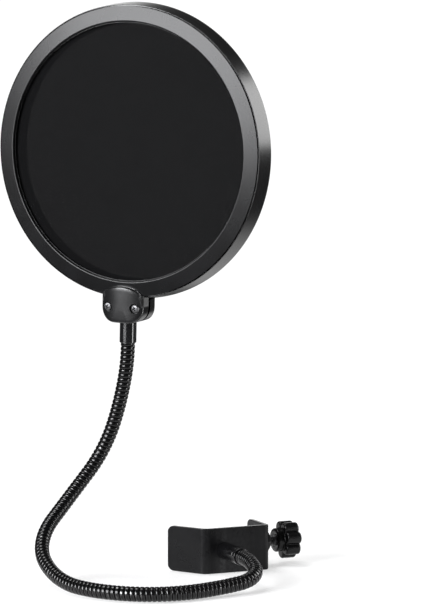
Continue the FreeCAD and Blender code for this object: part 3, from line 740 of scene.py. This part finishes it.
def build_screen(name, low, node, twist):
    """A taut round net: two faces a thread apart, its rows of loops turned by an angle."""
    radius, thick, rings, segments = 72.3, 0.25, 36, 180
    angles = circle(segments)
    points, flat, faces = [], [], []
    for z in (low, low + thick):
        base = len(points)
        points.append((0, 0, z))
        flat.append((0, 0))
        for i in range(1, rings + 1):
            r = radius * (i / rings)
            points.extend(loop_at(z, r, angles))
            flat.extend(loop_at(z, r * MM, angles + twist)[:, :2])
        for k in range(segments):
            n = (k + 1) % segments
            faces.append([base, base + 1 + k, base + 1 + n])
            for i in range(rings - 1):
                a, b = base + 1 + i * segments, base + 1 + (i + 1) * segments
                faces.append([a + k, b + k, b + n, a + n])
    rim, other_face = 1 + (rings - 1) * segments, 1 + rings * segments
    for k in range(segments):
        a, b = rim + k, rim + (k + 1) % segments
        faces.append([a, b, other_face + b, other_face + a])
    net = solid(name, points, faces, HEAD, flat)
    finish_piece(net, NYLON, "filter", node, 60)


# The holder's two screws stand as far to the left as to the right, in the head's frame.
HOLD_X, HOLD_Y = 8, -81


def shell_plan(inset):
    """The holder's outline from above, moved inwards: a domed top and round lower corners."""
    half_width, top, bottom = 12.3 - inset, -69.8 - inset, -89.2 + inset
    dome, corner = 20.1 - inset, 8 - inset
    reach = np.arcsin(half_width / dome)
    line = [(dome * np.sin(a), top - dome * (1 - np.cos(a))) for a in np.linspace(reach, -reach, 33)]
    for side, start in ((-1, np.pi), (1, np.pi + QUARTER)):
        x, y = side * (half_width - corner), bottom + corner
        for a in np.linspace(start, start + QUARTER, 16):
            line.append((x + corner * np.cos(a), y + corner * np.sin(a)))
    return np.array(line)


def shell_outside(name, place):
    """The arched outside of half a holder: its side walls, its rounded edge, and loops that
    close towards its middle."""
    crown, arch, edge, wall_end = 9.4, 31.5, 1.1, 1.0

    def top(x):
        return crown - arch + np.sqrt(arch**2 - x**2)

    loops = [[(x, y, wall_end) for x, y in shell_plan(0)]]
    for a in np.linspace(0, QUARTER, 7):
        inset, drop = edge * (1 - np.cos(a)), edge * (1 - np.sin(a))
        loops.append([(x, y, top(x) - drop) for x, y in shell_plan(inset)])
    inner = shell_plan(edge)
    centre = np.array([0, -80.0])
    for share in (0.85, 0.65, 0.45, 0.25, 0.08):
        loops.append([(x, y, top(x)) for x, y in centre + (inner - centre) * share])
    return stack(name, loops, place)


def build_shell(name, node, place, ring_z, recessed):
    """Half of the holder with its screw bosses and a saddle for the ferrule, cut clear of the
    hoop. The screws go through recessed holes in the front half into blind ones in the rear."""
    low, high = 0.05, 4.5
    shell = shell_outside(name, place)
    screws = [place @ matrix((x, HOLD_Y, 0)) for x in (-HOLD_X, HOLD_X)]
    bosses = [rod("boss", 3.0, low, high, at) for at in screws]
    saddle = prism("saddle", [(-6, -88.6), (6, -88.6), (6, -79), (-6, -79)], low, high, place)
    combine(shell, [*bosses, saddle], "UNION")
    hoop_radius = 77.85
    cuts = [lathe("ring_space", [
        (0, -12), (hoop_radius, -12), (hoop_radius, ring_z, 0.3), (0, ring_z),
    ], place, closed=False, segments=360)]
    cuts.append(lathe("seat", [
        (0, -91), (4.5, -91), (4.5, -86.3), (3.7, -86.3), (3.7, -84.3), (4.5, -84.3),
        (4.5, -79.4), (0, -79.4),
    ], place @ matrix(columns=turn_about("X", -QUARTER)), closed=False, segments=64))
    for at in screws:
        if recessed:
            cuts.append(rod("hole", 1.6, -1, 12, at))
            cuts.append(lathe("recess", [
                (0, 7.0), (2.6, 7.0), (2.6, 8.2), (3.0, 9.6), (3.0, 12), (0, 12),
            ], at, closed=False, segments=48))
        else:
            cuts.append(rod("hole", 1.53, -1, 5.4, at))
    combine(shell, cuts, "DIFFERENCE")
    finish_piece(shell, SHELL, "filter", node, 30, broad=False)


def build_holder_screws():
    """Two domed cross-recess screws, which stand at slightly different turns."""
    for word, x, turn in (("one", -HOLD_X, -0.35), ("two", HOLD_X, 0.35)):
        place = HEAD @ matrix((x, HOLD_Y, 0))
        head = lathe("holder_screw_" + word, [
            (0, -5), (0.5, -5), (1.5, -4), (1.5, 7.05), (2.35, 7.05, 0.15), (2.35, 7.75, 0.5),
            (1.9, 8.5, 0.7), (0.9, 8.72, 1.0), (0, 8.74),
        ], place, closed=False, segments=48)
        combine(head, [tapered_cross(8.74, place, turn)], "DIFFERENCE")
        finish_piece(head, BRIGHT, "filter", "holder_screws", 30)


def build_upper_ferrule():
    """The ferrule on the gooseneck's upper end, grooved for the ridge in the holder's saddle."""
    ferrule = lathe("neck_ferrule", [
        (3.7, 0, 0.2), (4.45, 0, 0.45), (4.45, 14.0, 0.1), (3.6, 14.0), (3.6, 16.4),
        (4.45, 16.4, 0.1), (4.45, 20.9, 0.4), (CENTRE, 20.9), (CENTRE, 11.4), (3.7, 11.4),
    ], MOUTH, segments=96, steps=4)
    finish_piece(ferrule, UPPER_FERRULE, "filter", "upper_ferrule")


build_rings()
build_screen("front_net", 3.7, "front_screen", twist=0.0)
build_screen("rear_net", -4.22, "rear_screen", twist=0.6)
build_shell("front_shell", "holder_front", HEAD, ring_z=7.45, recessed=True)
build_shell("rear_shell", "holder_rear", HEAD @ matrix(columns=turn_about("Y", np.pi)),
            ring_z=6.75, recessed=False)
build_holder_screws()
build_upper_ferrule()


# ---------------------------------------------------------------- stage, light, camera
def build_floor():
    """A white disc under the object that glows a little, so that its shadows stay soft."""
    material, tree, shader = node_tree("floor_white")
    where = add(tree, "ShaderNodeTexCoord").outputs["Object"]
    tree.links.new(tint(tree, spread(tree, noise(tree, where, 6, 3), 0, 1),
                        (0.5, 0.5, 0.5), (0.51, 0.51, 0.51)), shader.inputs["Base Color"])
    shader.inputs["Emission Color"].default_value = (1, 1, 1, 1)
    shader.inputs["Emission Strength"].default_value = 0.5
    shader.inputs["Roughness"].default_value = 0.6
    shader.inputs["Specular IOR Level"].default_value = 0.1
    radius, centre = 0.2, (-0.02, 0, -0.0004)
    mesh = bpy.data.meshes.new("floor")
    work = bmesh.new()
    bmesh.ops.create_circle(work, cap_ends=True, segments=96, radius=radius,
                            matrix=Matrix.Translation(centre))
    work.to_mesh(mesh)
    work.free()
    floor = bpy.data.objects.new("floor", mesh)
    mesh.materials.append(material)
    bpy.context.scene.collection.objects.link(floor)


# What the object mirrors: a dark room with two bright patches. Each patch has its direction, its
# strength, and the cosines of the angles from it at which the patch begins and is full.
BACKDROP = (0.404, 0.909, 0.101), 1.7, 0.945, 0.985
GROUND = (0.63, 0.52, -0.577), 1.1, 0.92, 0.975
ROOM = 0.08
# What the camera sees behind the object.
WHITE = 1.05


def area_light(name, at, target, size, power, colour=(1, 1, 1)):
    """A rectangular lamp at a point, turned to face another point, in metres and watts."""
    light = bpy.data.lights.new(name, "AREA")
    light.shape, light.size, light.size_y = "RECTANGLE", size[0], size[1]
    light.energy, light.color = power, colour
    obj = bpy.data.objects.new(name, light)
    obj.location = at
    obj.rotation_euler = (Vector(target) - Vector(at)).to_track_quat("-Z", "Y").to_euler()
    bpy.context.scene.collection.objects.link(obj)


def build_world():
    """The mirrored room with its bright patches, and plain white where the camera looks past."""
    world = bpy.data.worlds.new("studio")
    bpy.context.scene.world = world
    world.use_nodes = True
    tree = world.node_tree
    tree.nodes.clear()
    toward = add(tree, "ShaderNodeTexCoord").outputs["Generated"]
    room = add(tree, "ShaderNodeBackground", Color=(1, 1, 1, 1))
    glow = add(tree, "ShaderNodeMath", operation="MAXIMUM")
    for socket, (centre, strength, begins, full) in zip(glow.inputs, (BACKDROP, GROUND)):
        facing = add(tree, "ShaderNodeVectorMath", operation="DOT_PRODUCT")
        tree.links.new(toward, facing.inputs[0])
        facing.inputs[1].default_value = centre
        patch = spread(tree, facing.outputs["Value"], ROOM, strength, begins, full)
        tree.links.new(patch, socket)
    tree.links.new(glow.outputs[0], room.inputs["Strength"])
    backdrop = add(tree, "ShaderNodeBackground", Color=(1, 1, 1, 1), Strength=WHITE)
    path = add(tree, "ShaderNodeLightPath")
    mix = add(tree, "ShaderNodeMixShader")
    out = add(tree, "ShaderNodeOutputWorld")
    tree.links.new(path.outputs["Is Camera Ray"], mix.inputs["Fac"])
    tree.links.new(room.outputs[0], mix.inputs[1])
    tree.links.new(backdrop.outputs[0], mix.inputs[2])
    tree.links.new(mix.outputs[0], out.inputs["Surface"])


def build_camera():
    """The camera stands in the clamp's frame, in front and to the left, a little above."""
    yaw, pitch = np.radians(23.99), np.radians(3.365)
    at = CLAMP @ np.array([-461.27, -1049.39, 209.91, 1])
    camera = bpy.data.cameras.new("camera")
    camera.lens, camera.sensor_width = 130.26, 36.0
    camera.clip_start, camera.clip_end = 0.05, 20
    obj = bpy.data.objects.new("camera", camera)
    ahead = Vector((np.sin(yaw) * np.cos(pitch), np.cos(yaw) * np.cos(pitch), -np.sin(pitch)))
    obj.location = at[:3] * MM
    obj.rotation_euler = ahead.to_track_quat("-Z", "Y").to_euler()
    bpy.context.scene.collection.objects.link(obj)
    bpy.context.scene.camera = obj


build_floor()
build_world()
build_camera()
bpy.context.scene.view_settings.view_transform = "Standard"
# A lamp above and behind, a large one on the left, a weak one on the right, and a narrow upright
# one in front on the right.
area_light("top_box", (-0.45, 0.6, 2.1), (-0.05, 0, 0), (0.9, 0.9), 26)
area_light("left_box", (-1.085, -0.35, 0.395), (-0.04, 0, 0.3), (0.72, 0.61), 30,
           (0.975, 0.98, 1.0))
area_light("side_box", (0.9, 0.04, 0.5), (-0.03, 0, 0.2), (0.5, 0.5), 4.2)
area_light("right_strip", (0.64, -0.66, -0.03), (-0.03, 0.03, 0.09), (0.16, 0.76), 5.5)
